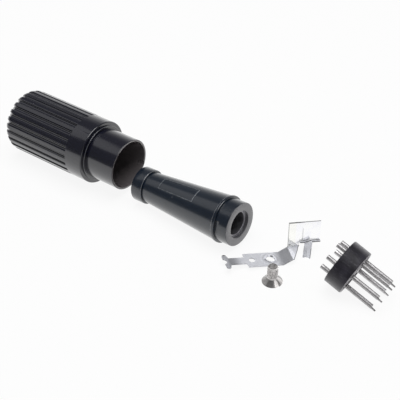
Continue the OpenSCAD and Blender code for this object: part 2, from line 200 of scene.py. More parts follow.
# The insert lies on its disc's front edge and on the tongues of its two lowest pins
EDGE_UP = DISC_R - DISC_ROUND - PIN_CIRCLE_R * math.cos(math.radians(PIN_STEP)) - TONGUE_LOW
EDGE_BACK = PIN_LONG_L + TONGUE_L + DISC_ROUND
INSERT_LEAN = (math.atan(EDGE_UP / EDGE_BACK) +
               math.asin(DISC_ROUND / math.hypot(EDGE_UP, EDGE_BACK)))
INSERT_Z = ((DISC_R - DISC_ROUND) * math.cos(INSERT_LEAN) +
            (DISC_H / 2 - DISC_ROUND) * math.sin(INSERT_LEAN) + DISC_ROUND)

shell_low, shell_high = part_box("shell")
MOUTH = Vector((shell_high.x, (shell_low.y + shell_high.y) / 2, 0))


def at(x, y, z):
    """A point of the row, in metres."""
    return MOUTH + Vector((x, y, z)) * MM


def place(x, y, z, turn=0.0, lean=0.0):
    """Where a piece's own frame lies; its +X is its axis. The angles are in degrees."""
    turned_z = Matrix.Rotation(math.radians(turn), 4, "Z")
    return Matrix.Translation(at(x, y, z)) @ turned_z @ Matrix.Rotation(math.radians(lean), 4, "Y")


shell_place = place(0, 0, GRIP_R)
sleeve_place = place(SLEEVE_X, SLEEVE_Y, SLEEVE_Z, SLEEVE_TURN, -math.degrees(SLEEVE_LEAN))
bracket_place = place(BRACKET_X, BRACKET_Y, 0, BRACKET_TURN)
insert_place = place(INSERT_X, INSERT_Y, INSERT_Z, INSERT_TURN, math.degrees(INSERT_LEAN))
screw_place = bracket_place @ Matrix.Translation(Vector((SCREW_U, SCREW_V, 0)) * MM)


# Modelling helpers
def nothing_selected():
    bpy.ops.object.select_all(action="DESELECT")


def only(piece):
    nothing_selected()
    piece.select_set(True)
    bpy.context.view_layer.objects.active = piece


def applied(piece, kind, **settings):
    """Adds a modifier with its settings and applies it."""
    only(piece)
    modifier = piece.modifiers.new(kind.lower(), kind)
    for key, value in settings.items():
        setattr(modifier, key, value)
    bpy.ops.object.modifier_apply(modifier=modifier.name)


def rounded(*corners):
    """An outline of (station, radius) from corners, of which a third number is the rounding."""
    points = []
    for i, corner in enumerate(corners):
        here = Vector(corner[:2])
        if len(corner) < 3:
            points.append(tuple(here))
            continue
        before = (Vector(corners[i - 1][:2]) - here).normalized()
        after = (Vector(corners[(i + 1) % len(corners)][:2]) - here).normalized()
        half = before.angle(after) / 2
        middle = here + (before + after).normalized() * corner[2] / math.sin(half)
        start = here + before * corner[2] / math.tan(half) - middle
        end = here + after * corner[2] / math.tan(half) - middle
        for k in range(ROUND_STEPS + 1):
            spoke = start.lerp(end, k / ROUND_STEPS).normalized()
            points.append(tuple(middle + spoke * corner[2]))
    return points


def turned(name, outline, steps, tube=False):
    """A body about +X: a ring is extruded and resized from one (station, radius) to the next. A
    solid body has a face in its first and last ring, and a tube's last ring meets its first."""
    station, radius = outline[0]
    nothing_selected()
    bpy.ops.mesh.primitive_circle_add(vertices=steps, radius=radius * MM,
                                      fill_type="NOTHING" if tube else "NGON",
                                      location=(station * MM, 0, 0), rotation=(0, math.pi / 2, 0))
    piece = bpy.context.object
    piece.name = name
    bpy.ops.object.mode_set(mode="EDIT")
    bpy.ops.mesh.select_mode(type="VERT")
    bpy.ops.mesh.select_all(action="SELECT")
    for next_station, next_radius in outline[1:]:
        move = ((next_station - station) * MM, 0, 0)
        bpy.ops.mesh.extrude_region_move(TRANSFORM_OT_translate={"value": move})
        grow = next_radius / radius
        bpy.ops.transform.resize(value=(1, grow, grow), center_override=(next_station * MM, 0, 0))
        station, radius = next_station, next_radius
    if tube:
        bpy.ops.mesh.select_all(action="SELECT")
        bpy.ops.mesh.remove_doubles(threshold=1e-7)
    bpy.ops.mesh.select_all(action="SELECT")
    bpy.ops.mesh.normals_make_consistent(inside=False)
    bpy.ops.object.mode_set(mode="OBJECT")
    bpy.ops.object.transform_apply(location=True, rotation=True, scale=True)
    return piece


def block(name, low, high):
    """A box between two corners in millimetres, as a start for a piece or a cutter."""
    middle = [(a + b) / 2 * MM for a, b in zip(low, high)]
    size = [(b - a) * MM for a, b in zip(low, high)]
    nothing_selected()
    bpy.ops.mesh.primitive_cube_add(size=1, location=middle, scale=size)
    piece = bpy.context.object
    piece.name = name
    bpy.ops.object.transform_apply(location=True, rotation=True, scale=True)
    return piece


def cut(piece, cutter):
    """Cuts one piece from another, and merges the slivers that this leaves."""
    applied(piece, "BOOLEAN", operation="DIFFERENCE", object=cutter, solver="EXACT")
    bpy.data.objects.remove(cutter)
    bpy.ops.object.mode_set(mode="EDIT")
    bpy.ops.mesh.select_all(action="SELECT")
    bpy.ops.mesh.remove_doubles(threshold=0.002 * MM)
    bpy.ops.mesh.dissolve_degenerate(threshold=0.002 * MM)
    bpy.ops.object.mode_set(mode="OBJECT")


def joined(*pieces):
    nothing_selected()
    for piece in pieces:
        piece.select_set(True)
    bpy.context.view_layer.objects.active = pieces[0]
    bpy.ops.object.join()
    return pieces[0]


def copied(piece, name):
    """A copy of a piece, with a mesh of its own."""
    copy = piece.copy()
    copy.data = piece.data.copy()
    copy.name = name
    bpy.context.scene.collection.objects.link(copy)
    return copy


def finished(piece, where, finish, slot, *replaced, sharp=32):
    """Turns the faces outwards, smooths the shading and puts the piece in its place."""
    only(piece)
    bpy.ops.object.mode_set(mode="EDIT")
    bpy.ops.mesh.select_all(action="SELECT")
    bpy.ops.mesh.normals_make_consistent(inside=False)
    bpy.ops.object.mode_set(mode="OBJECT")
    bpy.ops.object.shade_smooth_by_angle(angle=math.radians(sharp))
    applied(piece, "WEIGHTED_NORMAL", keep_sharp=True)
    piece.data.transform(where)
    piece.data.materials.clear()
    piece.data.materials.append(finish)
    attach(piece, "root")
    if replaced:
        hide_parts(*replaced)


def around(degrees):
    """A turn about +X, from straight up towards -Y."""
    return Matrix.Rotation(math.radians(degrees), 4, "X")


# Stands a body about +X up along +Z
UPRIGHT = Matrix.Rotation(math.radians(-90), 4, "Y")


def station_and_radius(vertex):
    """Where a vertex lies along the +X axis and how far from it, in millimetres."""
    return vertex.co.x / MM, math.hypot(vertex.co.y, vertex.co.z) / MM


def angle_from_top(vertex):
    """Degrees round the +X axis, from straight up towards -Y."""
    return math.degrees(math.atan2(-vertex.co.y, vertex.co.z))


def put(vertex, radius, degrees):
    """Moves a vertex round the +X axis to a radius in millimetres and an angle from the top."""
    turn = math.radians(degrees)
    vertex.co.y = -radius * MM * math.sin(turn)
    vertex.co.z = radius * MM * math.cos(turn)


# Shader maths
class Value:
    """A socket whose number changes over a surface, with the operators that are used on it."""

    def __init__(self, nodes, socket):
        self.nodes = nodes
        self.socket = socket

    def math(self, operation, first, second=0.0):
        return self.nodes.add("Math", {"operation": operation}, {0: first, 1: second})

    def __add__(self, other):
        return self.math("ADD", self, other)

    __radd__ = __add__

    def __mul__(self, other):
        return self.math("MULTIPLY", self, other)

    __rmul__ = __mul__

    def __sub__(self, other):
        return self.math("SUBTRACT", self, other)

    def __rsub__(self, other):
        return self.math("SUBTRACT", other, self)

    def __truediv__(self, other):
        return self.math("DIVIDE", self, other)

    def __pow__(self, other):
        return self.math("POWER", self, other)

    def __abs__(self):
        return self.math("ABSOLUTE", self)

    def at_most(self, other):
        return self.math("MINIMUM", self, other)

    def at_least(self, other):
        return self.math("MAXIMUM", self, other)

    def from_to(self, low, high):
        """0 up to low, 1 from high on, and smooth between them."""
        return self.nodes.add("MapRange", {"interpolation_type": "SMOOTHSTEP"},
                              {0: self, 1: low, 2: high, 3: 0.0, 4: 1.0})


class Nodes:
    """The nodes of a finish, a floor or a world in the making."""

    def __init__(self, tree):
        self.tree = tree
        tree.nodes.clear()

    def add(self, kind, settings=None, sockets=None, out=0):
        """Adds a node with its settings, and with the values or links of its sockets, and gives
        one of its outputs. An output node has none to give."""
        made = self.tree.nodes.new("ShaderNode" + kind)
        for key, value in (settings or {}).items():
            setattr(made, key, value)
        for key, value in (sockets or {}).items():
            if isinstance(value, Value):
                self.tree.links.new(value.socket, made.inputs[key])
            else:
                made.inputs[key].default_value = value
        return Value(self, made.outputs[out]) if made.outputs else None

    def mix(self, mask, low, high):
        """One colour where the mask is 0 and the other where it is 1."""
        return self.add("Mix", {"data_type": "RGBA"}, {0: mask, 6: low, 7: high}, 2)

    def here(self, where, scale=None):
        """Object coordinates in metres in the frame of a place, or times a scale for each axis."""
        point = self.add("Mapping", {"vector_type": "TEXTURE"},
                         {"Vector": self.add("TexCoord", out="Object"),
                          "Location": where.to_translation(), "Rotation": where.to_euler()})
        if scale is not None:
            point = self.add("Mapping", {"vector_type": "POINT"}, {"Vector": point, "Scale": scale})
        return point

    def axes(self, point):
        """The three coordinates of a point."""
        split = self.add("SeparateXYZ", None, {"Vector": point})
        return [Value(self, output) for output in split.socket.node.outputs]

    def millimetres(self, where):
        """The three coordinates in the frame of a place, in millimetres."""
        return self.axes(self.here(where, (1 / MM, 1 / MM, 1 / MM)))

    def noise(self, point, scale, detail=2.0, rough=0.5):
        return self.add("TexNoise", None,
                        {"Vector": point, "Scale": scale, "Detail": detail, "Roughness": rough})

    def specks(self, point, scale, size):
        """Sparse round specks: 1 on a speck."""
        cells = self.add("TexVoronoi", None, {"Vector": point, "Scale": scale})
        return 1 - cells.from_to(size * 0.6, size)

    def bump(self, height, depth, strength):
        return self.add("Bump", None, {"Height": height, "Distance": depth, "Strength": strength})

    def surface(self, **sockets):
        """A Principled shader and the output."""
        names = {key.replace("_", " "): value for key, value in sockets.items()}
        self.add("OutputMaterial", None, {"Surface": self.add("BsdfPrincipled", None, names)})


def material(name):
    made = bpy.data.materials.new(name)
    made.use_nodes = True
    return made, Nodes(made.node_tree)


def level(mask, low, high):
    """A number: low where the mask is 0 and high where it is 1."""
    return low + (high - low) * mask


def near(value, middle, half):
    """1 near the middle, and 0 from the half width on."""
    return 1 - abs(value - middle).from_to(half * 0.6, half)


def band(value, rise, fall):
    """0, then up to 1 over the first two numbers, and down to 0 over the last two."""
    return value.from_to(*rise) * (1 - value.from_to(*fall))


def distance(across, up):
    """How far a point lies from an axis or a centre."""
    return (across ** 2 + up ** 2) ** 0.5


def angle_of(x, y):
    """The angle of a point round a centre, in radians."""
    return x.math("ARCTAN2", y, x)


def beyond(u, v, start, end):
    """How far a point of the sheet lies outside the line from start to end."""
    along = (Vector(end) - Vector(start)).normalized()
    return (u - start[0]) * along.y - (v - start[1]) * along.x


# Colours
DUST = (0.35, 0.36, 0.38, 1)
PIT = (0.16, 0.14, 0.12, 1)
SHELL_DARK = (0.0026, 0.0030, 0.0095, 1)
SHELL_LIGHT = (0.0080, 0.0085, 0.0195, 1)
# The shell's bore colour is painted paler, standing in for the light inside it
SHELL_LIT_BORE = (0.150, 0.136, 0.140, 1)
SLEEVE_DARK = (0.002, 0.006, 0.015, 1)
SLEEVE_LIGHT = (0.006, 0.014, 0.028, 1)
# The sleeve's bore colour is painted paler, standing in for the light inside it
SLEEVE_LIT_BORE = (0.105, 0.106, 0.116, 1)
BORDER_DARK = (0.05, 0.058, 0.070, 1)
BORDER_LIGHT = (0.120, 0.132, 0.150, 1)
BORDER_BAR = (0.19, 0.205, 0.23, 1)
DISC_DARK = (0.011, 0.010, 0.015, 1)
DISC_LIGHT = (0.028, 0.026, 0.037, 1)
DISC_RUBBED = (0.085, 0.082, 0.095, 1)
# Painted light on the insert: a pale front as a painted reflection, a painted sheen and a lit far end
DISC_LIT_FACE = (0.42, 0.40, 0.43, 1)
DISC_PAINTED_SHEEN = (0.075, 0.072, 0.082, 1)
DISC_LIT_FAR_END = (0.17, 0.165, 0.18, 1)
PIN_DARK = (0.40, 0.392, 0.397, 1)
PIN_LIGHT = (0.52, 0.51, 0.518, 1)
SHEET_DARK = (0.90, 0.905, 0.93, 1)
SHEET_LIGHT = (0.96, 0.965, 0.985, 1)
SCREW_DARK = (0.86, 0.838, 0.84, 1)
SCREW_LIGHT = (0.98, 0.967, 0.975, 1)

# How fine a pattern is along each axis of a piece: the smaller, the longer its marks
FLOW_MARKS = (60.0, 300.0, 300.0)
HAIRLINES = (120.0, 5200.0, 5200.0)
RUB_MARKS = (500.0, 1900.0, 1900.0)
PIN_GRAIN = (250.0, 6000.0, 6000.0)
SHEET_GRAIN = (300.0, 7000.0, 7000.0)
SCREW_GRAIN = (900.0, 900.0, 7000.0)


# Finishes: every length in them is in millimetres
def greyish(grey, green, blue):
    """A grey with a little more or less green and blue."""
    return (grey, grey * green, grey * blue, 1)


def glossy_plastic(name, where, dark, light, rough, coat_rough, bore_r, lit_bore_colour, painted_edge_highlights,
                   painted_lit_faces=()):
    """Black moulded plastic with a polished skin: faint flow marks, orange peel, hairlines, dust.
    The walls inside the bore are painted paler, a painted light inside the bore. Edges get a painted
    highlight and flat faces are painted pale as if lit, each at a station, out to a radius and in a
    grey."""
    made, nodes = material(name)
    point = nodes.here(where)
    x, y, z = nodes.millimetres(where)
    radius = distance(y, z)
    flow = nodes.noise(nodes.here(where, FLOW_MARKS), 1.0, 3.0, 0.6)
    peel = nodes.noise(point, 900.0, 3.0)
    hairline = nodes.noise(nodes.here(where, HAIRLINES), 1.0, 2.0, 0.7).from_to(0.6, 0.75)
    dust = nodes.specks(point, 620.0, 0.05) * nodes.noise(point, 210.0).from_to(0.5, 0.62)
    colour = nodes.mix(flow, dark, light)
    colour = nodes.mix(dust * 0.5, colour, DUST)
    ahead_of_rear = x.from_to(0.02 - SHELL_L, 0.1 - SHELL_L)
    inside = (1 - radius.from_to(bore_r + 0.28, bore_r + 0.4)) * ahead_of_rear
    # Painted light: the walls inside the bore are paler than the black outside
    colour = nodes.mix(inside, colour, lit_bore_colour)
    # Painted highlights along edges, and painted light on flat faces
    for station, edge_r, grey in painted_edge_highlights:
        edge = near(x, station, 0.13) * radius.from_to(edge_r - 0.16, edge_r - 0.1)
        colour = nodes.mix(edge * level(flow, 0.55, 1.0), colour, greyish(grey, 1.03, 1.12))
    for station, face_r, grey in painted_lit_faces:
        face = near(x, station, 0.07) * (1 - radius.from_to(face_r - 0.04, face_r))
        colour = nodes.mix(face * level(flow, 0.6, 1.0), colour, greyish(grey, 0.98, 1.07))
    nodes.surface(Base_Color=colour,
                  Roughness=rough + flow * 0.1 + hairline * 0.08 + dust * 0.3,
                  Coat_Weight=1 - hairline * 0.25 - dust * 0.6,
                  Coat_Roughness=coat_rough,
                  Normal=nodes.bump(peel + hairline * 0.3 + flow, 6e-6, 0.5))
    return made


def rubbed_plastic():
    """The raised border of the sleeve: the same plastic, rubbed grey, and paler again at its front bar.
    """
    made, nodes = material("sleeve border")
    wear = nodes.noise(nodes.here(sleeve_place), 1500.0, 3.0, 0.7).from_to(0.35, 0.65)
    bar_x = -BORDER_FROM - BORDER_LINE
    bar = nodes.millimetres(sleeve_place)[0].from_to(bar_x - 0.1, bar_x)
    colour = nodes.mix(wear, BORDER_DARK, BORDER_LIGHT)
    colour = nodes.mix(bar * level(wear, 0.4, 1.0), colour, BORDER_BAR)
    nodes.surface(Base_Color=colour,
                  Roughness=level(wear, 0.3, 0.45),
                  Coat_Weight=level(wear, 0.3, 0.1),
                  Coat_Roughness=0.2,
                  Normal=nodes.bump(wear, 8e-6, 0.4))
    return made


# The side of the disc that faces this way gets no painted sheen
NO_SHEEN = Vector((0, -0.55, 0.83))


def satin_plastic():
    """Mould-textured plastic of the insert: fine grain and cloudy, rubbed patches, a front painted pale
    as a painted reflection, a painted sheen everywhere but round one direction, and painted light on
    its far end."""
    made, nodes = material("insert plastic")
    point = nodes.here(insert_place)
    x, y, z = nodes.millimetres(insert_place)
    radius = distance(y, z)
    front = DISC_H / 2
    cloud = nodes.noise(point, 480.0, 4.0, 0.6)
    grain = nodes.noise(point, 5200.0, 2.0, 0.6)
    rub = nodes.noise(nodes.here(insert_place, RUB_MARKS), 1.0, 3.0, 0.7).from_to(0.52, 0.7)
    half_cloud = level(cloud, 0.5, 1.0)
    colour = nodes.mix(cloud.from_to(0.35, 0.7), DISC_DARK, DISC_LIGHT)
    colour = nodes.mix(rub * 0.35, colour, DISC_RUBBED)
    # The recess and the front face are painted pale, a painted reflection
    recess = x.from_to(front - 0.32, front - 0.28) * (1 - radius.from_to(DISC_R - 0.6, DISC_R - 0.3))
    face = recess.at_least(x.from_to(front - 0.16, front - 0.05))
    colour = nodes.mix(face * cloud.from_to(0.2, 0.45), colour, DISC_LIT_FACE)
    # A painted sheen on the side, everywhere but round one direction
    side = radius.from_to(DISC_R - 0.4, DISC_R - 0.15)
    facing = (y * NO_SHEEN.y + z * NO_SHEEN.z) / radius
    sheen = level(side, 0.45, 1 - facing.from_to(0.2, 0.85))
    colour = nodes.mix(sheen * half_cloud, colour, DISC_PAINTED_SHEEN)
    # Painted light on the far end of the side
    lit_far_end = side * (y / radius).from_to(0.0, 0.55)
    colour = nodes.mix(lit_far_end * half_cloud, colour, DISC_LIT_FAR_END)
    nodes.surface(Base_Color=colour,
                  Roughness=0.42 + cloud * 0.15 - rub * 0.1,
                  Specular_IOR_Level=0.3,
                  Coat_Weight=sheen * 0.9,
                  Coat_Roughness=0.36,
                  Normal=nodes.bump(grain + cloud * 0.6, 14e-6, 0.7))
    return made


def plated(nodes, where, grain, dark, light, rough, metallic, tone):
    """The surface of plated metal: drawn or turned grain along one direction, clouds and pits. The
    tone makes it darker or brighter."""
    point = nodes.here(where)
    cloud = nodes.noise(point, 700.0, 4.0, 0.65)
    draw = nodes.noise(nodes.here(where, grain), 1.0, 3.0, 0.7)
    pits = nodes.specks(point, 1500.0, 0.12) * nodes.noise(point, 600.0).from_to(0.5, 0.65)
    colour = nodes.mix(cloud.from_to(0.3, 0.72), light, dark)
    colour = nodes.mix(pits * 0.6, colour, PIT)
    colour = nodes.add("VectorMath", {"operation": "MULTIPLY"}, {0: colour, 1: tone})
    nodes.surface(Base_Color=colour,
                  Roughness=rough + (draw - 0.5) * 0.22 + pits * 0.2,
                  Metallic=metallic - pits * 0.3,
                  Normal=nodes.bump(draw + cloud * 0.3 - pits, 5e-6, 0.4))


def pin_metal():
    """Drawn and plated pins, of which the fifth is the palest."""
    made, nodes = material("pin metal")
    y, z = nodes.millimetres(insert_place)[1:]
    fifth = y.from_to(2.0, 2.2) * (1 - z.from_to(-1.0, -0.8))
    plated(nodes, insert_place, PIN_GRAIN, PIN_DARK, PIN_LIGHT, rough=0.46, metallic=0.85,
           tone=level(fifth, 1.0, 1.35))
    return made


# How bright the sheet is, with painted shade on the bent tail and neck root and on the sloping ramp:
# its tail, and then the neck's root, the neck, the strip and the ramp, of which each starts at one u
# and has its full tone at another
TAIL_SHADE = 0.55
SHEET_SHADES = ((-4.3, -3.5, 0.36), (-3.2, -0.3, 0.80), (-0.1, 0.3, 0.83),
               (STRIP_L - 1.9, STRIP_L + 0.5, 0.41))


def bracket_steel():
    """Bright thin sheet: painted shade where it bends and slopes, a painted highlight on the crest and
    the floor, and polished on the wing.
    """
    made, nodes = material("bracket steel")
    u, v, z = nodes.millimetres(bracket_place)
    ramp_u = STRIP_L + RAMP_RUN
    floor_u = ramp_u + FLOOR_L
    floor_z = RAMP_RISE + SHEET
    inner_v = WING_V - SHEET
    drop = math.tan(math.radians(FLAG_SLOPE))
    flag_z = floor_z + FLAG_LIFT - (u - floor_u) * drop
    wing = v.from_to(inner_v - 0.08, inner_v - 0.02) * z.from_to(floor_z + 0.05, floor_z + 0.2)
    ahead = u.from_to(floor_u - 0.05, floor_u + 0.02)
    low = (1 - z.from_to(floor_z + 0.1, floor_z + 0.3)) * (1 - ahead)
    # Masks for a painted highlight on the crest and the floor, and for painted shade on the floor's
    # near side
    crest = u.from_to(ramp_u - 0.15, ramp_u + 0.1) * low
    floor_near_shade = u.from_to(ramp_u + 0.7, ramp_u + 0.9) * v.from_to(-0.9, -0.1) * low
    tone = TAIL_SHADE
    for start_u, end_u, next_tone in SHEET_SHADES:
        tone = level(u.from_to(start_u, end_u), tone, next_tone)
    # A painted highlight on the crest and the floor, and painted shade on the floor's near side
    tone = level(crest, tone, 1.05)
    tone = level(floor_near_shade, tone, 0.87)
    metallic = level(crest, 0.15, 0.0)
    # The tapped hole: a drawn collar with a painted highlight, a painted shadow at its foot on one side
    # and painted shade at two spots inside, and round it a dark and a bright ring where it was coined
    radius = distance(u - TAPPED_U, v)
    turn = angle_of(u - TAPPED_U, v)
    collar = 1 - radius.from_to(TAPPED_OUT + 0.02, TAPPED_OUT + 0.12)
    # The collar is painted bright, a painted highlight
    tone = level(collar, tone, 1.05)
    tone = level(band(radius, (1.5, 1.6), (1.8, 1.95)), tone, tone * 0.88)
    tone = level(band(radius, (2.0, 2.15), (2.25, 2.4)), tone, tone * 1.1)
    # Painted shade at two spots on the wall inside the hole
    thread = near(turn, 1.0, 0.35).at_least(near(turn, -0.35, 0.28))
    thread = thread * (1 - radius.from_to(TAPPED_R + 0.05, TAPPED_R + 0.12))
    tone = level(thread, tone, 0.25)
    # A painted shadow at the collar's foot on one side
    tone = level(collar * radius.from_to(1.2, 1.28) * near(turn, -2.4, 0.9), tone, 0.28)
    # The floor's slanted end has a dark cut edge
    corner = (floor_u - 0.8, WING_V - 1.6)
    slant = beyond(u, v, (ramp_u + 0.3, -WING_V), corner).at_least(
        beyond(u, v, corner, (floor_u, WING_V)))
    tone = level(slant.from_to(-0.2, -0.1) * crest, tone, 0.3)
    # The flange shows two dark lines, and the claw's foot has painted shade on one side and a dark line
    # at the other
    flange = ahead * (1 - wing) * near(z - flag_z, -0.1, 0.5)
    lines = near(v, inner_v - 0.08, 0.14).at_least(near(v, WING_V - 0.78, 0.12))
    tone = level(ahead * (1 - wing), tone, 1.0)
    tone = level(flange * lines, tone, 0.32)
    side = beyond(u, v, CLAW_FOOT, CLAW_ROOT)
    foot = ahead * (1 - z.from_to(1.5, 1.95))
    # Painted shade on one side of the claw's foot
    tone = level(foot * (1 - side.from_to(-0.1, 0.15)), tone, 0.80)
    tone = level(foot * side.from_to(0.68, 0.78), tone, 0.35)
    # The wing mirrors the pale table; its upper and left edges, the slot and the dimple are darker
    tone = level(wing, tone, 1.05)
    mirror = wing * (z - floor_z).from_to(0.0, 0.55).at_least(ahead)
    metallic = level(mirror, level(wing, metallic, 0.3), 1.0)
    top = floor_z + WING_H - (u - ramp_u) * drop
    top_edge = (z - top).from_to(-0.2, -0.08) * (1 - u.from_to(ramp_u + 2.0, ramp_u + 5.0))
    left_edge = (1 - u.from_to(ramp_u + 0.06, ramp_u + 0.14)) * wing
    tone = level(top_edge.at_least(left_edge * 0.8), tone, 0.34)
    dimple = 1 - distance(u - DIMPLE_U, z - DIMPLE_Z).from_to(0.2, 0.34)
    tone = level(dimple * wing, tone, 0.4)
    slot = near(u, SLOT_U, 0.16) * band(z, (2.6, 3.4), (6.0, 6.8))
    tone = level(slot, tone, 0.6)
    # The wing is warmer than the sheet, most of all at its foot
    red = level(wing, 0.955, 1.0)
    green = level(wing, 0.963, 0.995)
    blue = level(wing, 1.0, 1.0 - near(u, ramp_u + 0.7, 1.4) * 0.06)
    tint = nodes.add("CombineXYZ", None, {0: red, 1: green, 2: blue})
    tint = nodes.add("VectorMath", {"operation": "SCALE"}, {0: tint, "Scale": tone})
    plated(nodes, bracket_place, SHEET_GRAIN, SHEET_DARK, SHEET_LIGHT,
           rough=level(mirror, 0.3, 0.16), metallic=metallic, tone=tint)
    return made


# The direction of the painted highlight on the screw's cone, in radians
SCREW_SHINE = math.radians(-79)


def screw_steel():
    """Turned nickel-plated steel: streaks run down the cone, with painted highlights and painted dark
    reflections at set angles round the screw, and the end face is brown."""
    made, nodes = material("screw steel")
    x, y, z = nodes.millimetres(screw_place)
    radius = distance(x, y)
    from_shine = angle_of(x, y) - SCREW_SHINE
    on_circle = nodes.add("CombineXYZ", None, {0: x / radius, 1: y / radius, 2: 0.0})
    streak = nodes.noise(on_circle, 4.0, 3.0, 0.7).from_to(0.3, 0.7)
    patches = nodes.noise(nodes.here(screw_place), 1300.0, 3.0).from_to(0.3, 0.7)
    cone = 1 - z.from_to(SHANK_Z - 0.1, SHANK_Z + 0.1)
    tone = level(cone, 0.85 + patches * 0.35, 0.36 + streak * 0.25)
    # Painted dark reflections and painted highlights, by their angles from the highlight's direction
    tone = level(near(from_shine, -0.85, 0.6) * cone, tone, 0.24)
    tone = level(near(from_shine, -1.24, 0.12) * cone, tone, 0.45)
    tone = level(near(from_shine, 0.75, 0.5), tone, level(cone, 1.4, 0.98))
    shine = near(from_shine, 0.0, 0.27) * cone
    tone = level(shine, tone, 1.4)
    tone = level(near(from_shine, 0.42, 0.12) * cone, tone, 0.5)
    end_face = z.from_to(SCREW_L - 0.12, SCREW_L - 0.03)
    tone = level(end_face, tone, 0.18 + patches * 0.3)
    brown = nodes.add("CombineXYZ", None, {0: tone, 1: tone * 0.985, 2: tone * 0.97})
    plated(nodes, screw_place, SCREW_GRAIN, SCREW_DARK, SCREW_LIGHT, rough=0.2,
           metallic=level(shine, 0.3, 0.0), tone=brown)
    return made


# Shell and sleeve: painted highlights on edges, painted light on flat faces, and paler bores as painted
# light
shell_finish = glossy_plastic("shell plastic", shell_place, SHELL_DARK, SHELL_LIGHT, rough=0.16,
                              coat_rough=0.12, bore_r=BORE_R, lit_bore_colour=SHELL_LIT_BORE,
                              painted_edge_highlights=[(ROOT_L - SPIGOT_L, ROOT_R, 0.12)])
sleeve_finish = glossy_plastic("sleeve plastic", sleeve_place, SLEEVE_DARK, SLEEVE_LIGHT, rough=0.24,
                               coat_rough=0.17, bore_r=COUNTER_R - 0.25, lit_bore_colour=SLEEVE_LIT_BORE,
                               painted_edge_highlights=[(-RING_AT, RING_R, 0.5), (-COLLAR_AT, COLLAR_R, 0.2)],
                               painted_lit_faces=[(0, BIG_END_R, 0.14), (-COUNTER_H, COUNTER_R, 0.45)])
border_finish = rubbed_plastic()
disc_finish = satin_plastic()
pin_finish = pin_metal()
steel_finish = bracket_steel()
screw_finish = screw_steel()


# Shell
def shell_outline():
    """From the mouth back along the outside, and forwards again through the bore."""
    bend_x = REAR_ROUND - SHELL_L
    bend_r = GRIP_R - REAR_ROUND
    root_x = ROOT_L - SPIGOT_L
    wall_x = REAR_WALL - SHELL_L
    front = rounded((0, SPIGOT_R, 0.1), (root_x, SPIGOT_R), (root_x, ROOT_R, 0.06),
                    (-SPIGOT_L, ROOT_R), (-SPIGOT_L, GRIP_R, 0.25), (-SHELL_L, GRIP_R),
                    (-SHELL_L, BORE_R), (0, BORE_R))[:-3]
    grip = [(-GROOVE_FROM - start, GRIP_R) for start, share in GROOVE_START]
    rear = [(bend_x - REAR_ROUND * math.sin(math.radians(angle)),
             bend_r + REAR_ROUND * math.cos(math.radians(angle))) for angle in REAR_ANGLES]
    inside = rounded((-SHELL_L, GRIP_R), (-SHELL_L, REAR_HOLE_R, 0.15), (wall_x, REAR_HOLE_R),
                     (wall_x, BORE_R), (-KEY_L - 0.05, BORE_R), (-KEY_L, BORE_R), (0, BORE_R, 0.12),
                     (0, SPIGOT_R))[1:-1]
    return front + grip + rear + inside + [front[0]]


def carve_grip(shell):
    """Draws the points of the grip round and down into its grooves."""
    step = RIB_PITCH / POINTS_PER_RIB
    bend = Vector((REAR_ROUND - SHELL_L, GRIP_R - REAR_ROUND))
    last_r = bend.y + REAR_ROUND * math.cos(math.radians(GROOVE_TO))
    for vertex in shell.data.vertices:
        station, radius = station_and_radius(vertex)
        behind = -GROOVE_FROM - station
        if behind < -0.001 or radius < bend.y + 0.01:
            continue
        angle = angle_from_top(vertex)
        middle = (math.floor(angle / RIB_PITCH) + 0.5) * RIB_PITCH
        k = round((angle - middle) / step)
        outward = Vector((0, 1))
        if station < bend.x:
            outward = (Vector((station, radius)) - bend).normalized()
        deep = 0
        if abs(k) < len(GROOVE):
            across, deep = GROOVE[abs(k)]
            angle = middle + math.copysign(math.degrees(math.asin(across / radius)), k)
        deep *= [share for start, share in GROOVE_START if behind > start - 0.01][-1]
        if radius < last_r:
            deep = 0
        vertex.co.x = (station - deep * outward.x) * MM
        put(vertex, radius - deep * outward.y, angle)


def carve_key(shell):
    """The small key groove inside the mouth."""
    half = math.degrees(KEY_W / 2 / BORE_R)
    for vertex in shell.data.vertices:
        station, radius = station_and_radius(vertex)
        angle = angle_from_top(vertex)
        if station > -KEY_L - 0.01 and radius < KEY_R - 0.02 and abs(angle - KEY_AT) < half:
            put(vertex, KEY_R, angle)


shell = turned("shell_body", shell_outline(), RIBS * POINTS_PER_RIB, tube=True)
carve_grip(shell)
carve_key(shell)
finished(shell, shell_place, shell_finish, "shell_plastic", "shell", sharp=40)


# Cable sleeve
def sleeve_outline():
    """From the big end back along the outside, and forwards again through the bore."""
    outline = rounded((0, BIG_END_R, 0.1), (-BIG_END_L, BIG_END_R), (-BIG_END_L, RING_R, 0.22),
                      (-RING_AT, RING_R, 0.16), (-RING_AT, TAPER_R), (-COLLAR_AT, THIN_R),
                      (-COLLAR_AT, COLLAR_R, 0.2), (-SLEEVE_L, COLLAR_R, 0.12),
                      (-SLEEVE_L, CABLE_R, 0.15), (-COUNTER_H, CABLE_R, 0.06),
                      (-COUNTER_H, COUNTER_R), (0, COUNTER_R, 0.08))
    return outline + [outline[0]]


def pocket_cutter():
    """Cuts the mould's pocket in front of the ring, which comes to a point at one side."""
    cutter = block("pocket_cutter", (-BIG_END_L, -POCKET_W / 2, BIG_END_R - POCKET_H),
                   (POCKET_L - BIG_END_L, POCKET_W / 2, POCKET_TOP))
    for vertex in cutter.data.vertices:
        if vertex.co.y < 0 and vertex.co.x < (POCKET_L / 2 - BIG_END_L) * MM:
            vertex.co.y -= POCKET_POINT * MM
    cutter.data.transform(around(POCKET_AT))
    return cutter


